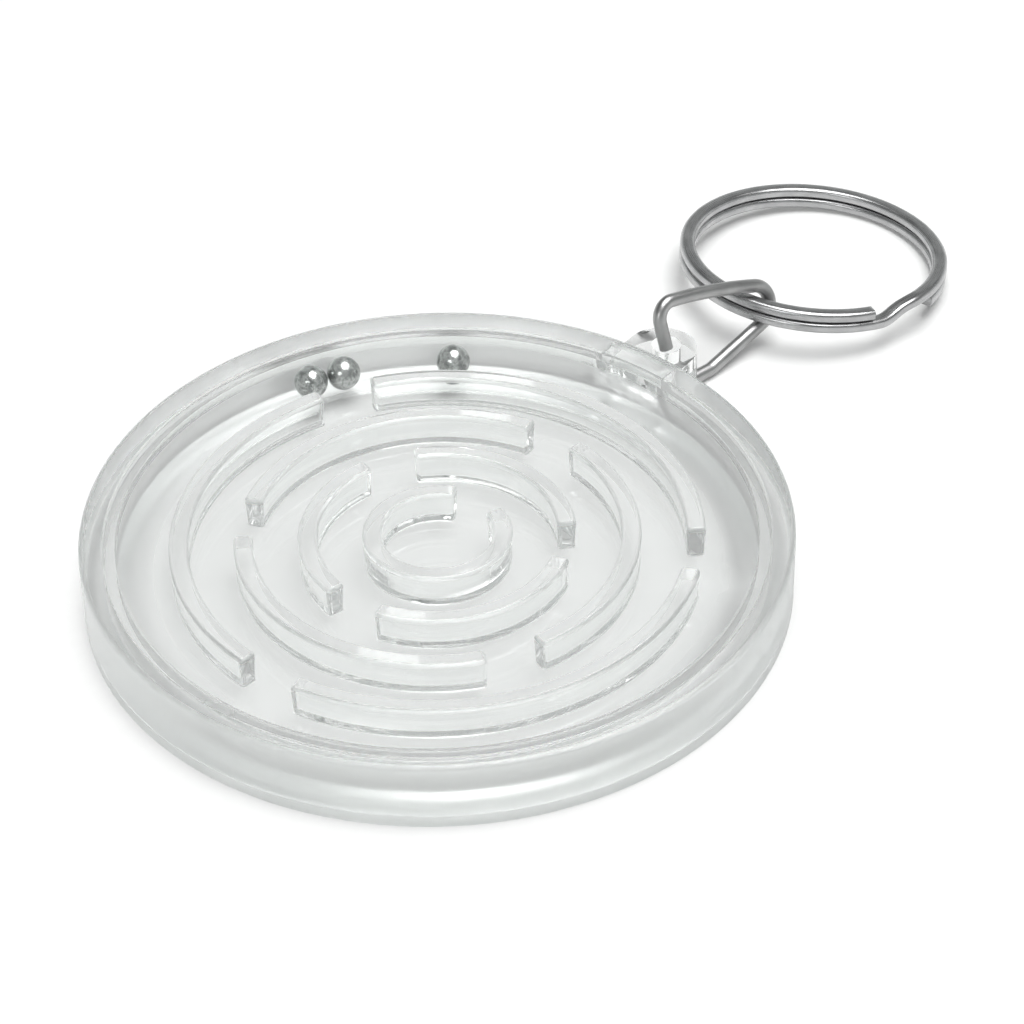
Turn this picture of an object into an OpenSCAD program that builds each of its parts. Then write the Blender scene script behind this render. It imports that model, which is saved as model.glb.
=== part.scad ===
// Puzzle keyring: a clear round case with a maze of ring walls and three loose steel balls,
// a bent wire link in the case's lug and a split ring of two turns.
// The origin is the centre of the case's underside, +Z is up and +Y points to the lug.
// The split ring's least gap between its own turns is measured on points and printed.

/* [Case] */
// Outer diameter of the case
case_d = 60; // [56:1:66]
// Thickness of the floor under the maze
floor_t = 2.1; // [1.8:0.1:3]
// Clear height between the floor and the cover
cavity_h = 3.2; // [3.2:0.1:4]
// Thickness of the cover's top plate
lid_t = 1.2; // [1:0.1:2]
// Height of the base's flange, which carries the cover's skirt
flange_h = 1.3; // [0.9:0.1:1.7]
// Thickness of the cover's skirt
skirt_t = 1.85; // [1.4:0.05:2.4]
// Thickness of the base's upright rim, inside the skirt
rim_t = 1; // [0.8:0.1:1.4]
// Gap all round between the rim and the skirt
rim_gap = 0.15; // [0.05:0.05:0.25]
// Gap at the flat faces where the cover sits on the base
seat_gap = 0.05; // [0.02:0.01:0.1]
// Rounding of the cover's top edge
edge_r = 0.4; // [0.2:0.05:0.8]
// Bevel round the underside's edge
foot_bevel = 0.25; // [0.1:0.05:0.5]

/* [Maze] */
// Width of the outermost channel, from the last ring wall to the rim
outer_channel_w = 4.5; // [4:0.1:5]
// Distance from one ring wall to the next
ring_pitch = 5.4; // [5.2:0.1:5.6]
// Thickness of a ring wall at its foot
wall_t = 1.6; // [1.2:0.1:2]
// Amount by which a ring wall's top is thinner than its foot
wall_draft = 0.1; // [0:0.02:0.2]
// Bevel along the two top edges of a ring wall
wall_bevel = 0.15; // [0.05:0.05:0.3]
// Bevel that fills the corner at the foot of a ring wall
wall_foot = 0.15; // [0.05:0.05:0.3]
// Gap between the top of the walls and the cover
wall_gap = 0.25; // [0.1:0.05:0.5]
// Width of the gate in the innermost ring
gate_w = 4.1; // [3.6:0.1:4.6]
// Amount by which the gates get wider from one ring to the next
gate_growth = 0.23; // [0:0.01:0.4]

/* [Lug] */
// Width of the lug
lug_w = 6.4; // [5.6:0.1:7.2]
// Distance that the lug's nose sticks out from the edge of the case
lug_reach = 5.65; // [5.2:0.05:6.4]
// Distance of the middle of the lug's hole from the edge of the case
hole_out = 3.2; // [2.8:0.05:3.5]
// Gap all round between the lug and the notch in the skirt
notch_gap = 0.15; // [0.05:0.05:0.2]

/* [Balls] */
// Diameter of a ball
ball_d = 3; // [2.6:0.05:3]
// Gap between a ball and what it lies on or leans on
ball_gap = 0.05; // [0.02:0.01:0.1]
// Direction of the first ball, seen from the middle of the maze
ball_angle = 154.4; // [130:0.1:200]
// Turn from the second ball to the third
ball_lead = 22.4; // [10:0.1:60]

/* [Wire link] */
// Diameter of the link's wire
link_wire_d = 1.25; // [1:0.05:1.4]
// Turn of the link to the right of the lug
link_yaw = 13; // [-20:0.5:30]
// Sideways lean of the link
link_lean = 20; // [0:1:22]
// Distance of the link's legs from the middle of the hole
link_leg_out = 0.25; // [0.1:0.05:0.4]
// Gap between the leaning legs and the wall of the hole
leg_gap = 0.07; // [0.05:0.01:0.3]
// Depth that each of the link's ends reaches into the hole
link_insert = 0.75; // [0.4:0.05:1.2]
// Distance from the hole to the middle of the link's nose
link_reach = 10.75; // [9:0.05:14]
// Height of the nose's middle over the middle of the lug
link_rise = 0.45; // [0.2:0.05:2]
// Downward slope of the upper arm where it meets the nose
upper_slope = 20; // [15:0.5:24]
// Radius of the upper arm's slight bow
upper_bow_r = 55; // [40:1:100]
// Distance from the hole to where the link's lower arm rises from the table
link_foot = 4.3; // [3:0.1:6]
// Radius of the link's bends, at the middle of the wire
link_bend_r = 1.5; // [1:0.05:1.6]
// Gap between the link's lower arm and the table
link_lift = 0.05; // [0.02:0.01:0.2]

/* [Split ring] */
// Outer diameter of the split ring
split_d = 25; // [20:0.5:32]
// Width of the split ring's flattened wire, seen from above
split_wire_w = 1.4; // [1.1:0.05:1.6]
// Thickness of the split ring's flattened wire
split_wire_h = 1; // [0.85:0.05:1.2]
// Rounding of the wire's four corners
split_round = 0.4; // [0.2:0.05:0.4]
// Gap between the two turns
turn_gap = 0.08; // [0.05:0.01:0.2]
// Free play of the two turns inside the link's nose
nose_play = 0.2; // [0.2:0.05:0.4]
// Distance from the middle of the nose back to where the ring crosses it
crossing_back = 0.15; // [0.1:0.05:0.4]
// Turn of the ring to the left of straight out
ring_swing = 5; // [-5:0.5:15]
// Place round the ring where the wire steps up from one turn to the other
step_angle = -14.5; // [-60:0.5:60]
// Arc that the step takes
step_arc = 23; // [16:1:32]
// Inward bow of the wire at the step
step_bow = 0.3; // [0:0.05:0.6]
// Arc between the step and the cut end of the upper turn
upper_end_arc = 3.7; // [2:0.1:12]
// Arc between the step and the cut end of the lower turn
lower_end_arc = 8.3; // [2:0.1:12]
// Gap between the split ring and the table
ring_lift = 0.05; // [0.02:0.01:0.2]

/* [Hidden] */
clear_green = [0.86, 0.92, 0.90, 0.45];
clear_white = [0.93, 0.96, 0.96, 0.30];
steel = [0.62, 0.64, 0.63];
nickel = [0.74, 0.74, 0.75];
// Length by which a cut runs past the face that it goes through
past = 1;
// Facets of a full turn: of the case, of the lug and its hole, of a rounded edge and of a ball
case_facets = 108;
lug_facets = 72;
edge_facets = 24;
ball_facets = 32;
// Points round a wire's section, and round one corner of the flattened wire
wire_sides = 16;
corner_sides = wire_sides / 4;
// The most that a wire turns and runs from one section to the next
bend_step = 9;
bow_step = 2.5;

// Heights and radii of the case
case_r = case_d / 2;
lid_z = floor_t + cavity_h;
case_h = lid_z + lid_t;
skirt_in_r = case_r - skirt_t;
rim_r = skirt_in_r - rim_gap;
rim_in_r = rim_r - rim_t;
wall_top_z = lid_z - wall_gap;
// Rings of the maze, from the middle outwards: one gate in the first, three in the others
ring_count = 4;
gates_in_first = 1;
gates_in_others = 3;
last_ring_r = rim_in_r - outer_channel_w - wall_t / 2;
function ring_r(i) = last_ring_r - (ring_count - 1 - i) * ring_pitch;
function gates(i) = i == 0 ? gates_in_first : gates_in_others;
// Angle taken by a gate, and the direction of a ring's first gate: every other ring is
// turned by half the angle between two gates, so that no gate lies behind another
function gate_arc(i) = 2 * asin((gate_w + i * gate_growth) / 2 / ring_r(i));
function gate_turn(i) = 90 + (i % 2) * 180 / gates_in_others;
// The lug's round nose and its hole
lug_nose_y = case_r + lug_reach - lug_w / 2;
hole_y = case_r + hole_out;
lug_h = wall_top_z - floor_t;
lug_mid_z = floor_t + lug_h / 2;
leg_sway = lug_h / 2 * tan(link_lean);
lug_hole_d = link_wire_d / cos(link_lean) + 2 * norm([leg_sway, link_leg_out]) + 2 * leg_gap;
// The balls lie on the floor against the rim, and the first two touch
ball_track_r = rim_in_r - ball_gap - ball_d / 2;
ball_z = floor_t + ball_gap / 2 + ball_d / 2;
ball_pair_arc = 2 * asin((ball_d + 2 * ball_gap) / 2 / ball_track_r);
ball_2_angle = ball_angle - ball_pair_arc;
ball_3_angle = ball_2_angle - ball_lead;
// The split ring's two turns, the middles of its wire's corners and the nose that it all fills
turn_pitch = split_wire_h + turn_gap;
split_r = (split_d - split_wire_w) / 2;
corner_x = split_wire_w / 2 - split_round;
corner_z = split_wire_h / 2 - split_round;
nose_r = norm([corner_x, turn_pitch / 2 + corner_z]) + split_round + nose_play + link_wire_d / 2;
// Points of the link in its own plane: outwards from the hole, upwards from the lug's middle
nose = [link_reach, link_rise];
bow_centre = nose - (upper_bow_r - nose_r) * [sin(upper_slope), cos(upper_slope)];
heel_x = link_leg_out + link_bend_r;
top_slope = asin((heel_x - bow_centre[0]) / (upper_bow_r - link_bend_r));
top_bend_w = bow_centre[1] + (upper_bow_r - link_bend_r) * cos(top_slope);
foot_w = -(lug_mid_z - link_wire_d / 2 - link_lift) / cos(link_lean);
toe = [link_foot, foot_w + link_bend_r];
lower_slope = atan2(nose[1] - toe[1], nose[0] - toe[0]) + asin((link_bend_r - nose_r) / norm(nose - toe));
leg_end_w = lug_h / 2 - link_insert;
link_path = concat(
    [[link_leg_out, leg_end_w]],
    arc([heel_x, top_bend_w], link_bend_r, 180, 90 - top_slope),
    arc(bow_centre, upper_bow_r, 90 - top_slope, 90 - upper_slope, skip = 1),
    arc(nose, nose_r, 90 - upper_slope, lower_slope - 90, skip = 1),
    arc(toe, link_bend_r, lower_slope - 90, -90),
    arc([heel_x, foot_w + link_bend_r], link_bend_r, -90, -180),
    [[link_leg_out, -leg_end_w]]
);
// Where the ring crosses the link, in the case's frame
crossing = link_point([link_reach - crossing_back, link_rise]);
crossing_angle = -90 + ring_swing;
// The ring hangs in the nose and rests on the table at its far side
far_z = ring_lift + split_round + turn_pitch / 2 + corner_z;
far_r = split_r + corner_x;
ring_drop = crossing[2] - far_z;
ring_span = far_r - split_r * sin(crossing_angle);
ring_tilt = asin(ring_drop / ring_span);
ring_centre = crossing - split_r * ring_direction(crossing_angle);
// The ring's wire, from the lower turn's cut end up the step to the upper turn's cut end
step_start = step_angle - step_arc / 2 + 360;
step_end = step_angle + step_arc / 2 + 360;
ring_start = step_end - 360 + lower_end_arc;
ring_end = step_start + 360 - upper_end_arc;
ring_steps = 120;
// Arc to either side over which the wire's direction is taken
slope_arc = 0.1;
// Arcs between the places at which the turns' least gap is measured, and to either side of a full turn
gap_step = 2.5;
gap_window = 25;

// A point of the link's plane in the case's frame
function link_point(p) = [
    p[0] * sin(link_yaw) - p[1] * sin(link_lean) * cos(link_yaw),
    hole_y + p[0] * cos(link_yaw) + p[1] * sin(link_lean) * sin(link_yaw),
    lug_mid_z + p[1] * cos(link_lean)
];
// Unit vector from the ring's centre to the given place round it, and along the wire there
function ring_direction(a) = [cos(a), sin(a) * cos(ring_tilt), -sin(a) * sin(ring_tilt)];
function ring_tangent(a) = ring_direction(a + 90);

function unit(v) = v / norm(v);

// Points of an arc about a centre, in even steps, without the first few that are to be skipped
function arc(centre, radius, from, to, skip = 0) =
    let (steps = ceil(max(abs(to - from) / bend_step, abs(to - from) * radius * PI / 180 / bow_step)))
    [for (i = [skip:steps])
        let (a = from + (to - from) * i / steps)
        centre + radius * [cos(a), sin(a)]];

// Circle of wire about a point, from the directions to its side and over it
function wire_circle(point, side, over, d) =
    [for (k = [0:wire_sides - 1])
        let (q = 360 * k / wire_sides)
        point + d / 2 * (cos(q) * side + sin(q) * over)];

// Section of the link's wire at a point of its path, in the path's own plane
function link_section(i) =
    let (
        before = link_path[max(i - 1, 0)],
        after = link_path[min(i + 1, len(link_path) - 1)],
        along = unit(after - before)
    )
    wire_circle([each link_path[i], 0], [-along[1], along[0], 0], [0, 0, 1], link_wire_d);

// Smooth step from 0 to 1, and where the ring's wire is on it
function smooth(t) = t * t * (3 - 2 * t);
function step_part(a) = max(0, min(1, (a - step_start) / step_arc));
function ring_wire_r(a) = split_r - step_bow * pow(sin(180 * step_part(a)), 2);
function ring_wire_z(a) = turn_pitch * (smooth(step_part(a)) - 0.5);
function ring_point(a) = [ring_wire_r(a) * cos(a), ring_wire_r(a) * sin(a), ring_wire_z(a)];

// Frame of the ring's wire at angle a: its middle and two directions square to it
function ring_frame(a) =
    let (
        along = unit(ring_point(a + slope_arc) - ring_point(a - slope_arc)),
        out = [cos(a), sin(a), 0],
        side = unit(out - (out * along) * along)
    )
    [ring_point(a), side, cross(along, side)];
ring_frames = [for (i = [0:ring_steps]) ring_frame(ring_start + (ring_end - ring_start) * i / ring_steps)];

// Middle of one of the four rounded corners of the wire's section, in the given frame
function corner_middle(frame, corner) =
    let (
        x = corner == 0 || corner == 3 ? corner_x : -corner_x,
        z = corner < 2 ? corner_z : -corner_z
    )
    frame[0] + x * frame[1] + z * frame[2];

// Section of the flattened wire in the given frame: each corner in turn
function flattened_wire(frame) =
    [for (corner = [0:3])
        for (k = [0:corner_sides - 1])
            let (q = 90 * (corner + k / (corner_sides - 1)))
            corner_middle(frame, corner) + split_round * (cos(q) * frame[1] + sin(q) * frame[2])];

// Gap between the corners of two sections of the wire
function corner_gap(a, b) =
    min([for (m = [0:3]) for (n = [0:3]) norm(corner_middle(a, m) - corner_middle(b, n))]) - 2 * split_round;

// Least gap between the turns: each place against the places about a full turn on along the wire
least_gap = min([
    for (a = [ring_start:gap_step:ring_end - 360 + gap_window])
        for (b = [a + 360 - gap_window:gap_step:min(a + 360 + gap_window, ring_end)])
            corner_gap(ring_frame(a), ring_frame(b))
]);

// A wire as one tube: quads between its sections, cut into triangles, and a cap at each end
module wire_tube(sections) {
    last = (len(sections) - 1) * wire_sides;
    start_cap = [[for (k = [0:wire_sides - 1]) k]];
    end_cap = [[for (k = [wire_sides - 1:-1:0]) last + k]];
    around = [
        for (i = [0:len(sections) - 2])
            for (k = [0:wire_sides - 1])
                let (
                    a = i * wire_sides + k,
                    b = i * wire_sides + (k + 1) % wire_sides
                )
                each [[a, a + wire_sides, b], [b, a + wire_sides, b + wire_sides]]
    ];
    polyhedron(points = [for (section = sections) each section], faces = concat(start_cap, around, end_cap));
}

// Section of a ring wall: bevelled at its top and where it meets the floor
module wall_section(r) {
    foot = wall_t / 2;
    head = foot - wall_draft / 2;
    root = -floor_t / 2;
    h = wall_top_z - floor_t;
    right_side = [
        [foot + wall_foot, 0],
        [foot, wall_foot],
        [head, h - wall_bevel],
        [head - wall_bevel, h]
    ];
    left_side = [for (i = [3:-1:0]) [-right_side[i][0], right_side[i][1]]];
    translate([r, 0])
        polygon(concat([[foot + wall_foot, root]], right_side, left_side, [[-foot - wall_foot, root]]));
}

// One ring of the maze: equal arcs of wall between its gates
module ring_wall(i) {
    pitch = 360 / gates(i);
    for (k = [0:gates(i) - 1])
        rotate([0, 0, gate_turn(i) + gate_arc(i) / 2 + k * pitch])
            translate([0, 0, floor_t])
                rotate_extrude(angle = pitch - gate_arc(i), $fn = case_facets)
                    wall_section(ring_r(i));
}

// Outline of the lug, from inside the rim to its round nose, grown by a gap
module lug_outline(gap) {
    root_y = (rim_in_r + rim_r) / 2;
    width = lug_w + 2 * gap;
    translate([-width / 2, root_y])
        square([width, lug_nose_y - root_y]);
    translate([0, lug_nose_y])
        circle(d = width, $fn = lug_facets);
}

// The base: floor with its flange and upright rim, the maze, and the lug with its hole
module base() {
    color(clear_green)
        difference() {
            union() {
                rotate_extrude($fn = case_facets)
                    polygon([
                        [0, 0],
                        [case_r - foot_bevel, 0],
                        [case_r, foot_bevel],
                        [case_r, flange_h],
                        [rim_r, flange_h],
                        [rim_r, lid_z - seat_gap],
                        [rim_in_r, lid_z - seat_gap],
                        [rim_in_r, floor_t],
                        [0, floor_t]
                    ]);
                for (i = [0:ring_count - 1])
                    ring_wall(i);
                translate([0, 0, floor_t])
                    linear_extrude(lug_h)
                        lug_outline(0);
            }
            translate([0, hole_y, floor_t - past])
                cylinder(h = lug_h + 2 * past, d = lug_hole_d, $fn = lug_facets);
        }
}

// The cover: top plate and skirt in one, with a notch for the lug
module cover() {
    foot_z = flange_h + seat_gap;
    color(clear_white)
        difference() {
            rotate_extrude($fn = case_facets) {
                translate([0, lid_z])
                    square([case_r - edge_r, lid_t]);
                translate([skirt_in_r, foot_z])
                    square([skirt_t, case_h - edge_r - foot_z]);
                translate([case_r - edge_r, case_h - edge_r])
                    circle(r = edge_r, $fn = edge_facets);
            }
            translate([0, 0, foot_z - past])
                linear_extrude(wall_top_z + notch_gap / 2 - foot_z + past)
                    lug_outline(notch_gap);
        }
}

// A ball in the outermost channel, in the given direction
module ball(angle) {
    color(steel)
        rotate([0, 0, angle])
            translate([ball_track_r, 0, ball_z])
                sphere(d = ball_d, $fn = ball_facets);
}

// The wire link: one piece of wire whose two ends sit in the lug's hole from above and below
module wire_link() {
    color(nickel)
        translate([0, hole_y, lug_mid_z])
            rotate([0, 0, 90 - link_yaw])
                rotate([-link_lean, 0, 0])
                    rotate([90, 0, 0])
                        wire_tube([for (i = [0:len(link_path) - 1]) link_section(i)]);
}

// The split ring: one unbroken wire of two turns, with a step from the lower to the upper turn
module split_ring() {
    color(nickel)
        translate(ring_centre)
            rotate([-ring_tilt, 0, 0])
                wire_tube([for (frame = ring_frames) flattened_wire(frame)]);
}

echo("least gap between the split ring's turns, mm", least_gap);
echo("hole", [0, hole_y, lug_mid_z], "crossing", crossing, "ring axis", ring_tangent(crossing_angle));
echo("ring centre", ring_centre, "ring tilt", ring_tilt, "ball track", ball_track_r);

base();
cover();
ball(ball_angle);  // ball_1
ball(ball_2_angle);  // ball_2
ball(ball_3_angle);  // ball_3
wire_link();
split_ring();
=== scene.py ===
import math

import bmesh
import bpy
import numpy as np
from mathutils import Matrix, Vector, geometry


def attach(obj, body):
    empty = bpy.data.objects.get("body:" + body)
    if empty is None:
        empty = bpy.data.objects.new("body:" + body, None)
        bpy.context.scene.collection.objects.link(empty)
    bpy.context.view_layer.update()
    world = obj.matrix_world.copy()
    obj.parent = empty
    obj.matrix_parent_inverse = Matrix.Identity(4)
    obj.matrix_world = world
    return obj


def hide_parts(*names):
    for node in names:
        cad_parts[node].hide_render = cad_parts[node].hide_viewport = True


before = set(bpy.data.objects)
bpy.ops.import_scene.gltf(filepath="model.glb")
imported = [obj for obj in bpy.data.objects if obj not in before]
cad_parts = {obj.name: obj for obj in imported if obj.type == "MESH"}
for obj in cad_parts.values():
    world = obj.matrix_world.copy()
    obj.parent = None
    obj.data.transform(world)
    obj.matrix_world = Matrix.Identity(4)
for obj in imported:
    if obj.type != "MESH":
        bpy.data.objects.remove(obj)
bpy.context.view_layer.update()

MM = 0.001
CASE_R = 30.0
WHITE, BLACK = (1.0, 1.0, 1.0, 1), (0.0, 0.0, 0.0, 1)


# Node trees

class Tree:
    """A node tree that is written one node a line. Inputs are values or other nodes' outputs."""

    def __init__(self, owner):
        owner.use_nodes = True
        self.tree = owner.node_tree
        self.tree.nodes.clear()

    def add(self, kind, inputs=None, **props):
        node = self.tree.nodes.new(kind)
        for name, value in props.items():
            setattr(node, name, value)
        for name, value in (inputs or {}).items():
            self.feed(node.inputs[name], value)
        return node

    def feed(self, socket, value):
        if isinstance(value, bpy.types.NodeSocket):
            self.tree.links.new(value, socket)
        else:
            socket.default_value = value

    def math(self, operation, a, b=0.0):
        return self.add("ShaderNodeMath", {0: a, 1: b}, operation=operation).outputs[0]

    def noise(self, vector, scale, detail=3.0, roughness=0.5):
        node = self.add("ShaderNodeTexNoise",
                        {"Vector": vector, "Scale": scale, "Detail": detail, "Roughness": roughness})
        return node.outputs["Fac"]

    def spread(self, value, low, high, from_low=0.3, from_high=0.7):
        """Maps from_low to low and from_high to high. By default it spreads a noise over low to high."""
        node = self.add("ShaderNodeMapRange", {
            "Value": value, "From Min": from_low, "From Max": from_high, "To Min": low, "To Max": high})
        return node.outputs["Result"]

    def stretched(self, vector, scale):
        return self.add("ShaderNodeMapping", {"Vector": vector, "Scale": scale}).outputs[0]

    def blend(self, fac, a, b):
        node = self.add("ShaderNodeMix", data_type="RGBA")
        for k, value in ((0, fac), (6, a), (7, b)):
            self.feed(node.inputs[k], value)
        return node.outputs[2]

    def bump(self, height, strength, distance):
        node = self.add("ShaderNodeBump", {"Height": height, "Strength": strength, "Distance": distance})
        return node.outputs[0]

    def surface(self, shader):
        self.add("ShaderNodeOutputMaterial", {"Surface": shader})


PLASTIC_IOR = 1.49
WAVINESS = 0.10
TINT_CHANGE = 0.985
SCRATCH_ROUGHNESS, SCRATCH_DEPTH = 0.05, 0.02
SIDE_FROM, SIDE_FULL, SIDE_UNTIL, SIDE_GONE = 29.2, 29.8, 30.1, 30.3
# The outer side's darker grey-green colour is painted shade.
SIDE_SATIN, SIDE_PAINTED_SHADE = 0.42, (0.90, 0.92, 0.91, 1)
EDGE_SATIN = 0.4
SHADOW_OF_EDGES = 0.42


def clear_plastic(name, tint):
    """Clear moulded plastic, satin on its outer side and its rounded edges, with handling marks. Its outer
    side is also coloured a darker grey-green, which is painted shade.

    Lamps shine through it, and less so where its surface is seen edge on from them.
    """
    material = bpy.data.materials.new(name)
    t = Tree(material)
    place = t.add("ShaderNodeTexCoord").outputs["Object"]
    flow = t.noise(place, scale=90.0, detail=2.0)
    specks = t.noise(place, scale=2600.0, detail=4.0)
    ways = ((2400.0, 160.0, 900.0), (210.0, 2100.0, 900.0))
    lines = [t.spread(t.noise(t.stretched(place, way), scale=1.0, detail=2.0),
                      low=0.0, high=1.0, from_low=0.70, from_high=0.76) for way in ways]
    scratches = t.math("MAXIMUM", *lines)

    x, y, _ = t.add("ShaderNodeSeparateXYZ", {0: place}).outputs
    from_axis = t.math("SQRT", t.math("ADD", t.math("POWER", x, 2.0), t.math("POWER", y, 2.0)))
    side = t.math("MULTIPLY",
                  t.spread(from_axis, low=0.0, high=1.0, from_low=SIDE_FROM * MM, from_high=SIDE_FULL * MM),
                  t.spread(from_axis, low=1.0, high=0.0, from_low=SIDE_UNTIL * MM, from_high=SIDE_GONE * MM))
    normal = t.add("ShaderNodeNewGeometry").outputs["Normal"]
    level = t.math("ABSOLUTE", t.add("ShaderNodeSeparateXYZ", {0: normal}).outputs[2])
    edges = t.math("MULTIPLY",
                   t.spread(level, low=0.0, high=1.0, from_low=0.08, from_high=0.2),
                   t.spread(level, low=EDGE_SATIN, high=0.0, from_low=0.93, from_high=0.99))

    polished = t.spread(specks, low=0.0, high=0.02)
    rough = t.math("ADD", polished, t.math("MULTIPLY", scratches, SCRATCH_ROUGHNESS))
    rough = t.math("MAXIMUM", rough, t.math("MAXIMUM", t.math("MULTIPLY", side, SIDE_SATIN), edges))
    colour = t.blend(t.spread(flow, low=0.0, high=1.0), tint, [c * TINT_CHANGE for c in tint[:3]] + [1.0])
    # Painted shade: the outer side gets a darker grey-green colour.
    colour = t.blend(side, colour, SIDE_PAINTED_SHADE)
    height = t.math("ADD", flow, t.math("MULTIPLY", scratches, SCRATCH_DEPTH))
    plastic = t.add("ShaderNodeBsdfPrincipled", {
        "Base Color": colour, "Roughness": rough,
        "Normal": t.bump(height, strength=WAVINESS, distance=0.02 * MM)})
    plastic.inputs["IOR"].default_value = PLASTIC_IOR
    plastic.inputs["Transmission Weight"].default_value = 1.0

    mirrored = t.add("ShaderNodeFresnel", {"IOR": PLASTIC_IOR}).outputs[0]
    shade = t.blend(t.math("MULTIPLY", mirrored, SHADOW_OF_EDGES), WHITE, BLACK)
    lets_through = t.add("ShaderNodeBsdfTransparent", {"Color": shade})
    rays = t.add("ShaderNodeLightPath")
    lamplight = t.math("MAXIMUM", rays.outputs["Is Shadow Ray"], rays.outputs["Is Diffuse Ray"])
    t.surface(t.add("ShaderNodeMixShader", {
        0: lamplight, 1: plastic.outputs[0], 2: lets_through.outputs[0]}).outputs[0])
    return material


STAIN, STEEL = (0.24, 0.25, 0.245, 1), (0.58, 0.595, 0.585, 1)
MARK_ROUGHNESS = 0.06


def polished_steel(name):
    """Hardened steel ball: polished, with fine lapping marks and faint stains."""
    material = bpy.data.materials.new(name)
    t = Tree(material)
    place = t.add("ShaderNodeTexCoord").outputs["Object"]
    fine = t.noise(place, scale=5200.0, detail=5.0)
    stains = t.noise(place, scale=1500.0, detail=4.0, roughness=0.6)
    lapping = t.noise(t.stretched(place, (5200.0, 700.0, 2600.0)), scale=1.0, detail=3.0)
    marks = t.spread(lapping, low=0.0, high=1.0, from_low=0.62, from_high=0.72)
    colour = t.blend(t.spread(stains, low=0.0, high=1.0, from_low=0.38, from_high=0.58), STAIN, STEEL)
    rough = t.math("ADD", t.spread(fine, low=0.16, high=0.26), t.math("MULTIPLY", marks, MARK_ROUGHNESS))
    steel = t.add("ShaderNodeBsdfPrincipled", {
        "Base Color": colour, "Roughness": rough,
        "Normal": t.bump(marks, strength=0.05, distance=0.004 * MM)})
    steel.inputs["Metallic"].default_value = 1.0
    t.surface(steel.outputs[0])
    return material


NICK_ROUGHNESS, NICK_DEPTH = 0.12, 0.5


def nickel_wire(name, light, dark, smooth, dull, streaks):
    """Nickel-plated drawn wire: fine lines along its length, dull patches and small nicks.

    smooth and dull are the lowest and highest roughness, streaks the height of the lines.
    """
    material = bpy.data.materials.new(name)
    t = Tree(material)
    along = t.add("ShaderNodeUVMap", uv_map="wire").outputs[0]
    drawn = t.noise(t.stretched(along, (0.35, 9.0, 1.0)), scale=1.0, detail=4.0)
    patches = t.noise(t.stretched(along, (0.5, 0.9, 1.0)), scale=1.0, detail=3.0)
    dents = t.noise(t.stretched(along, (6.0, 6.0, 1.0)), scale=1.0, detail=2.0)
    nicks = t.spread(dents, low=0.0, high=1.0, from_low=0.66, from_high=0.74)
    colour = t.blend(t.spread(patches, low=0.0, high=1.0), light, dark)
    rough = t.math("ADD", t.spread(drawn, low=smooth, high=dull), t.math("MULTIPLY", nicks, NICK_ROUGHNESS))
    height = t.math("SUBTRACT", t.math("MULTIPLY", drawn, streaks), t.math("MULTIPLY", nicks, NICK_DEPTH))
    metal = t.add("ShaderNodeBsdfPrincipled", {
        "Base Color": colour, "Roughness": rough,
        "Normal": t.bump(height, strength=0.12, distance=0.01 * MM)})
    metal.inputs["Metallic"].default_value = 1.0
    t.surface(metal.outputs[0])
    return material


def dress(node, material):
    """Gives a CAD node its material."""
    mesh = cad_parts[node].data
    mesh.materials.clear()
    mesh.materials.append(material)


base_plastic = clear_plastic("clear_base", tint=(0.984, 0.992, 0.988, 1))
dress("cover", clear_plastic("clear_cover", tint=(0.989, 0.995, 0.992, 1)))
ball_steel = polished_steel("ball_steel")
for ball in ("ball_1", "ball_2", "ball_3"):
    dress(ball, ball_steel)


# Wires: swept tubes on the routes of part.scad, with the same sizes in millimetres

SAME_POINT = 1e-6
WIRE_SHARP = 38


def unit(v):
    return v / np.linalg.norm(v)


def round_outline(width, height, corner, corner_sides):
    """Outline of a wire's section, to the side and over: a rectangle with rounded corners, or a circle."""
    x, z = width / 2 - corner, height / 2 - corner
    outline = []
    for quarter, (sx, sz) in enumerate(((1, 1), (-1, 1), (-1, -1), (1, -1))):
        for k in range(corner_sides + 1):
            q = math.radians(90 * (quarter + k / corner_sides))
            outline.append((sx * x + corner * math.cos(q), sz * z + corner * math.sin(q)))
    return [p for k, p in enumerate(outline) if math.dist(p, outline[k - 1]) > SAME_POINT]


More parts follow.
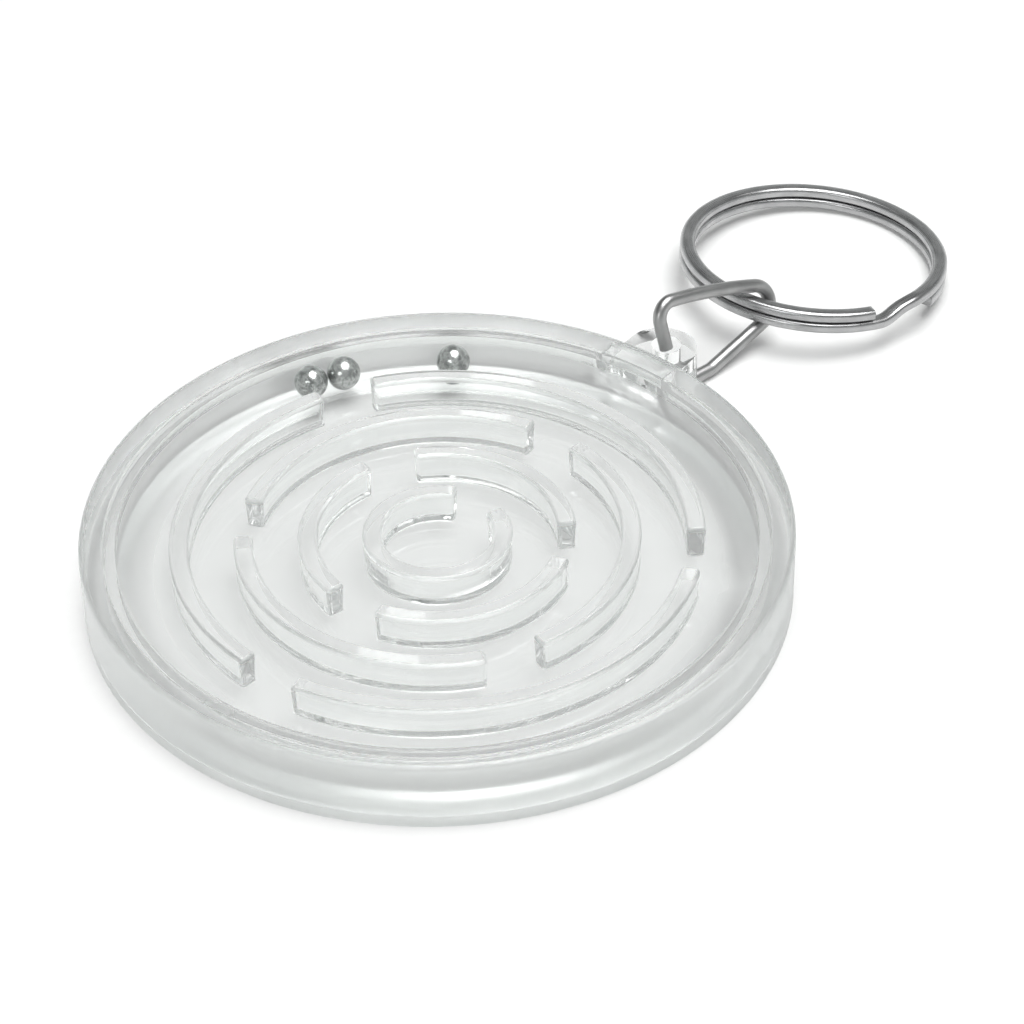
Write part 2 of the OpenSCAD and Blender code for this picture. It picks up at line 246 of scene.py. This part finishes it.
def tube(name, points, overs, outline, chamfer):
    """A wire about a route. overs are the directions over it; its ends are chamfered flat faces."""
    end = len(points) - 1
    along = [unit(points[min(i + 1, end)] - points[max(i - 1, 0)]) for i in range(end + 1)]
    rings = [(p, a, o, 1.0) for p, a, o in zip(points, along, overs)]
    small = 1.0 - chamfer / max(x for x, z in outline)
    first, last = rings[0], rings[-1]
    rings[0] = (first[0] + first[1] * chamfer, first[1], first[2], 1.0)
    rings[-1] = (last[0] - last[1] * chamfer, last[1], last[2], 1.0)
    rings = [(first[0], first[1], first[2], small)] + rings + [(last[0], last[1], last[2], small)]
    sides = len(outline)
    round_way = [0.0]
    for k in range(sides):
        round_way.append(round_way[-1] + math.dist(outline[k], outline[(k + 1) % sides]))
    vertices, lengths = [], []
    for p, a, over, share in rings:
        over = unit(over - a * np.dot(over, a))
        side = np.cross(a, over)
        lengths.append((lengths[-1] + float(np.linalg.norm(p - before))) if lengths else 0.0)
        before = p
        for x, z in outline:
            vertices.append((p + share * (x * side + z * over)) * MM)
    faces = []
    face_uvs = []
    for i in range(len(rings) - 1):
        for k in range(sides):
            a, b = i * sides + k, i * sides + (k + 1) % sides
            faces.append((a, b, b + sides, a + sides))
            face_uvs += [(lengths[i], round_way[k]), (lengths[i], round_way[k + 1]),
                         (lengths[i + 1], round_way[k + 1]), (lengths[i + 1], round_way[k])]
    last = (len(rings) - 1) * sides
    for start, order in ((0, range(sides - 1, -1, -1)), (last, range(sides))):
        faces.append([start + k for k in order])
        face_uvs += [(start + outline[k][0], outline[k][1]) for k in order]
    mesh = bpy.data.meshes.new(name)
    mesh.from_pydata([tuple(v) for v in vertices], [], faces)
    layer = mesh.uv_layers.new(name="wire")
    layer.data.foreach_set("uv", np.array(face_uvs, np.float32).ravel())
    mesh.polygons.foreach_set("use_smooth", [True] * len(mesh.polygons))
    mesh.set_sharp_from_angle(angle=math.radians(WIRE_SHARP))
    mesh.validate()
    piece = bpy.data.objects.new(name, mesh)
    bpy.context.scene.collection.objects.link(piece)
    return piece


def degrees(f):
    """The function f of an angle in degrees."""
    return lambda x: f(math.radians(x))


sin, cos = degrees(math.sin), degrees(math.cos)

FLOOR_T, CAVITY_H, WALL_GAP, HOLE_OUT = 2.1, 3.2, 0.25, 3.2
LINK_WIRE, LINK_YAW, LINK_LEAN, LEG_OUT, INSERT = 1.25, 13.0, 20.0, 0.25, 0.75
REACH, RISE, UPPER_SLOPE, BOW_R, LINK_FOOT, BEND_R, LINK_LIFT = 10.75, 0.45, 20.0, 55.0, 4.3, 1.5, 0.05
SPLIT_D, SPLIT_W, SPLIT_H, SPLIT_ROUND, TURN_GAP, NOSE_PLAY, CROSS_BACK = 25.0, 1.4, 1.0, 0.4, 0.08, 0.2, 0.15
SWING, STEP_AT, STEP_ARC, STEP_BOW, UPPER_END, LOWER_END, RING_LIFT = 5.0, -14.5, 23.0, 0.3, 3.7, 8.3, 0.05
TURN_STEP, LONGEST_STEP, LEG_STEPS, ARM_STEPS, RING_STEPS = 3.0, 0.5, 4, 12, 420

lug_h = CAVITY_H - WALL_GAP
lug_mid = FLOOR_T + lug_h / 2
hole_y = CASE_R + HOLE_OUT
pitch = SPLIT_H + TURN_GAP
split_r = (SPLIT_D - SPLIT_W) / 2
corner_x, corner_z = SPLIT_W / 2 - SPLIT_ROUND, SPLIT_H / 2 - SPLIT_ROUND
nose_r = math.hypot(corner_x, pitch / 2 + corner_z) + SPLIT_ROUND + NOSE_PLAY + LINK_WIRE / 2


def arc(centre, radius, start, stop, skip=0):
    """Points of an arc, without the first ones that skip counts."""
    sweep = stop - start
    n = max(2, math.ceil(max(abs(sweep) / TURN_STEP, math.radians(abs(sweep)) * radius / LONGEST_STEP)))
    return [(centre[0] + radius * cos(start + sweep * i / n), centre[1] + radius * sin(start + sweep * i / n))
            for i in range(skip, n + 1)]


def straight(a, b, n):
    """The n - 1 points between a and b."""
    return [(a[0] + (b[0] - a[0]) * i / n, a[1] + (b[1] - a[1]) * i / n) for i in range(1, n)]


def link_route():
    """The link's route in its own plane: outwards from the hole, upwards from the lug's middle."""
    nose = (REACH, RISE)
    bow = (nose[0] - (BOW_R - nose_r) * sin(UPPER_SLOPE), nose[1] - (BOW_R - nose_r) * cos(UPPER_SLOPE))
    heel = LEG_OUT + BEND_R
    top_slope = math.degrees(math.asin((heel - bow[0]) / (BOW_R - BEND_R)))
    top = bow[1] + (BOW_R - BEND_R) * cos(top_slope)
    foot = -(lug_mid - LINK_WIRE / 2 - LINK_LIFT) / cos(LINK_LEAN)
    toe = (LINK_FOOT, foot + BEND_R)
    to_nose = (nose[0] - toe[0], nose[1] - toe[1])
    turned_in = math.asin((BEND_R - nose_r) / math.hypot(*to_nose))
    lower_slope = math.degrees(math.atan2(to_nose[1], to_nose[0]) + turned_in)
    leg_end = lug_h / 2 - INSERT
    route = [(LEG_OUT, leg_end)]
    route += straight((LEG_OUT, leg_end), (LEG_OUT, top), LEG_STEPS)
    route += arc((heel, top), BEND_R, 180, 90 - top_slope)
    route += arc(bow, BOW_R, 90 - top_slope, 90 - UPPER_SLOPE, 1)
    nose_bend = arc(nose, nose_r, 90 - UPPER_SLOPE, lower_slope - 90, 1)
    toe_bend = arc(toe, BEND_R, lower_slope - 90, -90)
    route += nose_bend + straight(nose_bend[-1], toe_bend[0], ARM_STEPS) + toe_bend
    route += arc((heel, foot + BEND_R), BEND_R, -90, -180)
    route += [(LEG_OUT, -leg_end)]
    return route


def link_point(p):
    """A point of the link's plane in the case's frame."""
    return np.array([p[0] * sin(LINK_YAW) - p[1] * sin(LINK_LEAN) * cos(LINK_YAW),
                     hole_y + p[0] * cos(LINK_YAW) + p[1] * sin(LINK_LEAN) * sin(LINK_YAW),
                     lug_mid + p[1] * cos(LINK_LEAN)])


route = link_route()
hole = link_point((0, 0))
square_to_link = np.cross(link_point((1, 0)) - hole, link_point((0, 1)) - hole)
link = tube("bent_wire_link", [link_point(p) for p in route], [square_to_link] * len(route),
            round_outline(LINK_WIRE, LINK_WIRE, LINK_WIRE / 2, corner_sides=8), chamfer=0.06)
link.data.materials.append(nickel_wire(
    "link_nickel", light=(0.44, 0.44, 0.44, 1), dark=(0.33, 0.33, 0.33, 1),
    smooth=0.30, dull=0.44, streaks=1.4))
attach(link, "link")
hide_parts("wire_link")

crossing = link_point((REACH - CROSS_BACK, RISE))
crossing_angle = -90 + SWING
far_z = RING_LIFT + SPLIT_ROUND + pitch / 2 + corner_z
tilt = math.degrees(math.asin((crossing[2] - far_z) / (split_r + corner_x - split_r * sin(crossing_angle))))
step_start = STEP_AT - STEP_ARC / 2 + 360
step_end = STEP_AT + STEP_ARC / 2 + 360
ring_start = step_end - 360 + LOWER_END
ring_end = step_start + 360 - UPPER_END


def tilted(x, y, z):
    """A direction of the ring's plane, which leans on the link's nose, in the case's frame."""
    return np.array([x, y * cos(tilt) + z * sin(tilt), -y * sin(tilt) + z * cos(tilt)])


ring_centre = crossing - split_r * tilted(cos(crossing_angle), sin(crossing_angle), 0)


def ring_point(a):
    """The wire's middle at angle a. The step lifts it by one turn and bows it inwards."""
    part = max(0.0, min(1.0, (a - step_start) / STEP_ARC))
    r = split_r - STEP_BOW * sin(180 * part) ** 2
    return ring_centre + tilted(r * cos(a), r * sin(a), pitch * (part * part * (3 - 2 * part) - 0.5))


angles = [ring_start + (ring_end - ring_start) * i / RING_STEPS for i in range(RING_STEPS + 1)]
ring = tube("split_ring_wire", [ring_point(a) for a in angles], [tilted(0, 0, 1)] * len(angles),
            round_outline(SPLIT_W, SPLIT_H, SPLIT_ROUND, corner_sides=7), chamfer=0.05)
ring.data.materials.append(nickel_wire(
    "ring_nickel", light=(0.50, 0.50, 0.505, 1), dark=(0.37, 0.37, 0.375, 1),
    smooth=0.20, dull=0.36, streaks=1.0))
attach(ring, "ring")
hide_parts("split_ring")


# Base: the CAD node's plate, rim and lug, with maze walls whose edges and ends are rounded

WALL_TOP = CAVITY_H - WALL_GAP
SKIRT_T, RIM_GAP, RIM_T, OUTER_CHANNEL, RING_PITCH, WALL_T = 1.85, 0.15, 1.0, 4.5, 5.4, 1.6
RING_COUNT, GATES_INSIDE, GATES_OUTSIDE, GATE_W, GATE_GROWTH = 4, 1, 3, 4.1, 0.23
GATES_TURN, ODD_RINGS_TURN = 90, 60
FOOT_ROUND, FOOT_IN, TOP_ROUND, TOP_OUT, END_ROUND = 0.12, 0.1, 0.4, 0.04, 0.4
ARC_STEP, ROUND_STEP, FOOT_STEP = 1.5, 18, 30
FLOOR_MARGIN, RIM_MARGIN = 0.01, 0.05
COPLANAR, ANY_SHAPE = 0.01, 3.2
CAD_WELD, SKIN_WELD, FLOOR_WELD = 1e-7, 2e-7, 1e-6
BASE_SHARP = 32
rim_in_r = CASE_R - SKIRT_T - RIM_GAP - RIM_T


def ring_walls():
    """Radius, start and sweep of each wall of the maze."""
    walls = []
    for i in range(RING_COUNT):
        r = rim_in_r - OUTER_CHANNEL - WALL_T / 2 - (RING_COUNT - 1 - i) * RING_PITCH
        gates = GATES_INSIDE if i == 0 else GATES_OUTSIDE
        gate = 2 * math.degrees(math.asin((GATE_W + i * GATE_GROWTH) / 2 / r))
        turn = GATES_TURN + i % 2 * ODD_RINGS_TURN
        for k in range(gates):
            walls.append((r, turn + gate / 2 + k * 360 / gates, 360 / gates - gate))
    return walls


def wall_rows(r, start, sweep):
    """Rows of points round a wall, from its filleted foot to its rounded top."""
    inset = math.degrees(END_ROUND / r)
    steps = math.ceil(sweep / ARC_STEP)
    line = [start + inset + (sweep - 2 * inset) * i / steps for i in range(steps + 1)]
    first, last = line[0], line[-1]
    outer, inner = r + WALL_T / 2 - END_ROUND, r - WALL_T / 2 + END_ROUND
    leave, arrive = range(ROUND_STEP, 91, ROUND_STEP), range(0, 90, ROUND_STEP)
    spots = [(outer, a, a) for a in line]
    spots += [(outer, last, last + q) for q in leave]
    spots += [(inner, last, last + 90 + q) for q in arrive]
    spots += [(inner, a, a + 180) for a in reversed(line)]
    spots += [(inner, first, first + 180 + q) for q in leave]
    spots += [(outer, first, first + 270 + q) for q in arrive]
    levels = [(FOOT_ROUND * (1 - cos(q)), FOOT_ROUND * (1 - sin(q)) - FOOT_IN)
              for q in range(0, 91, FOOT_STEP)]
    levels += [(WALL_TOP - TOP_ROUND * (1 - sin(q)), TOP_OUT - TOP_ROUND * (1 - cos(q)))
               for q in range(0, 91, ROUND_STEP)]
    return [[(ray * cos(a) + (END_ROUND + grown) * cos(way),
              ray * sin(a) + (END_ROUND + grown) * sin(way), FLOOR_T + z)
             for ray, a, way in spots] for z, grown in levels]


def moulded_base():
    """The base as one closed skin: the CAD's mesh with its cavity floor and maze walls laid anew."""
    skin = bmesh.new()
    skin.from_mesh(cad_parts["base"].data)
    bmesh.ops.remove_doubles(skin, verts=skin.verts, dist=CAD_WELD)
    inside = [f for f in skin.faces if min(v.co.z for v in f.verts) > (FLOOR_T - FLOOR_MARGIN) * MM
              and min(math.hypot(v.co.x, v.co.y) for v in f.verts) < (rim_in_r - RIM_MARGIN) * MM]
    bmesh.ops.delete(skin, geom=inside, context="FACES")
    bmesh.ops.join_triangles(
        skin, faces=skin.faces, angle_face_threshold=COPLANAR, angle_shape_threshold=ANY_SHAPE)
    rim = [v for v in skin.verts if any(len(e.link_faces) == 1 for e in v.link_edges)]
    flat = [v.co.to_2d() / MM for v in rim]
    feet = []
    for r, start, sweep in ring_walls():
        rows = wall_rows(r, start, sweep)
        count = len(rows[0])
        feet.append(range(len(flat), len(flat) + count))
        flat += [Vector(p[:2]) for p in rows[0]]
        grid = [[skin.verts.new(Vector(p) * MM) for p in row] for row in rows]
        for low, high in zip(grid, grid[1:]):
            for k in range(count):
                skin.faces.new((low[k], low[(k + 1) % count], high[(k + 1) % count], high[k]))
        skin.faces.new(grid[-1])
    corners, _, faces, _, _, walls = geometry.delaunay_2d_cdt(flat, [], feet, 0, FLOOR_WELD)
    floor = [skin.verts.new((p.x * MM, p.y * MM, FLOOR_T * MM)) for p in corners]
    for face, wall in zip(faces, walls):
        if not wall:
            skin.faces.new([floor[i] for i in face])
    bmesh.ops.remove_doubles(skin, verts=skin.verts, dist=SKIN_WELD)
    bmesh.ops.delete(skin, geom=[v for v in skin.verts if not v.link_faces], context="VERTS")
    bmesh.ops.recalc_face_normals(skin, faces=skin.faces)
    assert all(len(e.link_faces) == 2 for e in skin.edges), "the base's skin is open"
    mesh = bpy.data.meshes.new("moulded_base")
    skin.to_mesh(mesh)
    skin.free()
    mesh.polygons.foreach_set("use_smooth", [True] * len(mesh.polygons))
    mesh.set_sharp_from_angle(angle=math.radians(BASE_SHARP))
    piece = bpy.data.objects.new("moulded_base", mesh)
    bpy.context.scene.collection.objects.link(piece)
    weigh = piece.modifiers.new("flat_faces", "WEIGHTED_NORMAL")
    weigh.keep_sharp = True
    weigh.mode = "FACE_AREA_WITH_ANGLE"
    return piece


base = moulded_base()
base.data.materials.append(base_plastic)
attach(base, "case")
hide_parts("base")


# Floor, with the white background that the camera, metal and plastic see, and the object's shadow

GROUND_HALF, GROUND_BELOW = 3.0, 0.03 * MM
PAPER = (0.84, 0.845, 0.84, 1), (0.88, 0.885, 0.88, 1)
BACKDROP_LIFT = 0.12


def ground():
    half = GROUND_HALF
    mesh = bpy.data.meshes.new("ground")
    corners = [(x, y, -GROUND_BELOW) for x, y in ((-half, -half), (half, -half), (half, half), (-half, half))]
    mesh.from_pydata(corners, [], [(0, 1, 2, 3)])
    floor = bpy.data.objects.new("ground", mesh)
    bpy.context.scene.collection.objects.link(floor)
    material = bpy.data.materials.new("paper")
    t = Tree(material)
    place = t.add("ShaderNodeTexCoord").outputs["Object"]
    grain = t.noise(place, scale=800.0)
    paper = t.add("ShaderNodeBsdfDiffuse", {"Color": t.blend(grain, *PAPER)})
    rays = t.add("ShaderNodeLightPath")
    seen = t.math("MAXIMUM", rays.outputs["Is Camera Ray"],
                  t.math("MAXIMUM", rays.outputs["Is Glossy Ray"], rays.outputs["Is Transmission Ray"]))
    lift = t.add("ShaderNodeEmission", {"Color": WHITE, "Strength": t.math("MULTIPLY", seen, BACKDROP_LIFT)})
    t.surface(t.add("ShaderNodeAddShader", {0: paper.outputs[0], 1: lift.outputs[0]}).outputs[0])
    mesh.materials.append(material)


ground()


# Room: a studio that is white at the horizon and gets darker towards its ceiling

ROOM_COLOUR, ROOM_FILL = (0.97, 1.0, 0.99, 1), 0.12
MIRRORED_HORIZON, MIRRORED_CEILING = 0.95, 0.24
REFRACTED_HORIZON, REFRACTED_CEILING = 0.7, 0.5


def sky():
    """The camera sees it plain white, metal sees the mirrored levels and plastic the refracted ones.

    Dull surfaces get an even, faint fill from it.
    """
    world = bpy.data.worlds.new("room")
    bpy.context.scene.world = world
    t = Tree(world)
    direction = t.add("ShaderNodeTexCoord").outputs["Generated"]
    height = t.add("ShaderNodeSeparateXYZ", {0: direction}).outputs[2]
    mirrored = t.spread(height, low=MIRRORED_HORIZON, high=MIRRORED_CEILING, from_low=0.12, from_high=0.45)
    refracted = t.spread(height, low=REFRACTED_HORIZON, high=REFRACTED_CEILING, from_low=0.0, from_high=0.3)
    rays = t.add("ShaderNodeLightPath")
    strength = ROOM_FILL
    seen_by = (("Is Glossy Ray", mirrored), ("Is Transmission Ray", refracted), ("Is Camera Ray", 1.0))
    for kind, level in seen_by:
        mix = t.add("ShaderNodeMix", {0: rays.outputs[kind], 2: strength, 3: level}, data_type="FLOAT")
        strength = mix.outputs[0]
    room = t.add("ShaderNodeBackground", {"Color": ROOM_COLOUR, "Strength": strength})
    t.add("ShaderNodeOutputWorld", {"Surface": room.outputs[0]})


sky()


# Lamps, aimed at the case's underside

def lamp(name, place, size, watts):
    data = bpy.data.lights.new(name, "AREA")
    data.shape = "ELLIPSE"
    data.size, data.size_y = size
    data.energy = watts
    item = bpy.data.objects.new(name, data)
    item.location = place
    item.rotation_euler = (-Vector(place)).to_track_quat("-Z", "Y").to_euler()
    bpy.context.scene.collection.objects.link(item)


lamp("overhead", place=(0.067, 0.083, 0.536), size=(0.54, 0.45), watts=3.4)
lamp("front_left", place=(0.082, -0.498, 0.324), size=(0.3, 0.18), watts=0.5)


# Camera at the photograph's place, fitted with lengths in case radii and angles in degrees

TURN, ELEVATION, ROLL = 38.0, 39.2417, -1.231
DISTANCE, RIGHT_SHIFT, UP_SHIFT = 10.2801, -0.2058, -0.1964
FOCAL_PIXELS, IMAGE_PIXELS, SENSOR = 3634.563, 1024, 36.0


def camera():
    back = Vector((0, -cos(ELEVATION), sin(ELEVATION)))
    right = Vector((1, 0, 0))
    up = back.cross(right)
    right, up = right * cos(ROLL) + up * sin(ROLL), up * cos(ROLL) - right * sin(ROLL)
    place = (back * DISTANCE - right * RIGHT_SHIFT - up * UP_SHIFT) * CASE_R * MM
    round_z = Matrix.Rotation(math.radians(TURN), 3, "Z")
    data = bpy.data.cameras.new("camera")
    data.sensor_width = SENSOR
    data.lens = FOCAL_PIXELS / IMAGE_PIXELS * SENSOR
    data.clip_start = 0.01
    item = bpy.data.objects.new("camera", data)
    axes = Matrix((right, up, back)).transposed()
    item.matrix_world = Matrix.Translation(round_z @ place) @ (round_z @ axes).to_4x4()
    bpy.context.scene.collection.objects.link(item)
    bpy.context.scene.camera = item


camera()


# Rays: plastic needs many bounces, because each total reflection inside it counts as one

BOUNCES, TRANSPARENT_BOUNCES = 96, 48

scene = bpy.context.scene
scene.view_settings.view_transform = "Standard"
scene.cycles.max_bounces = BOUNCES
scene.cycles.glossy_bounces = BOUNCES
scene.cycles.transmission_bounces = BOUNCES
scene.cycles.transparent_max_bounces = TRANSPARENT_BOUNCES
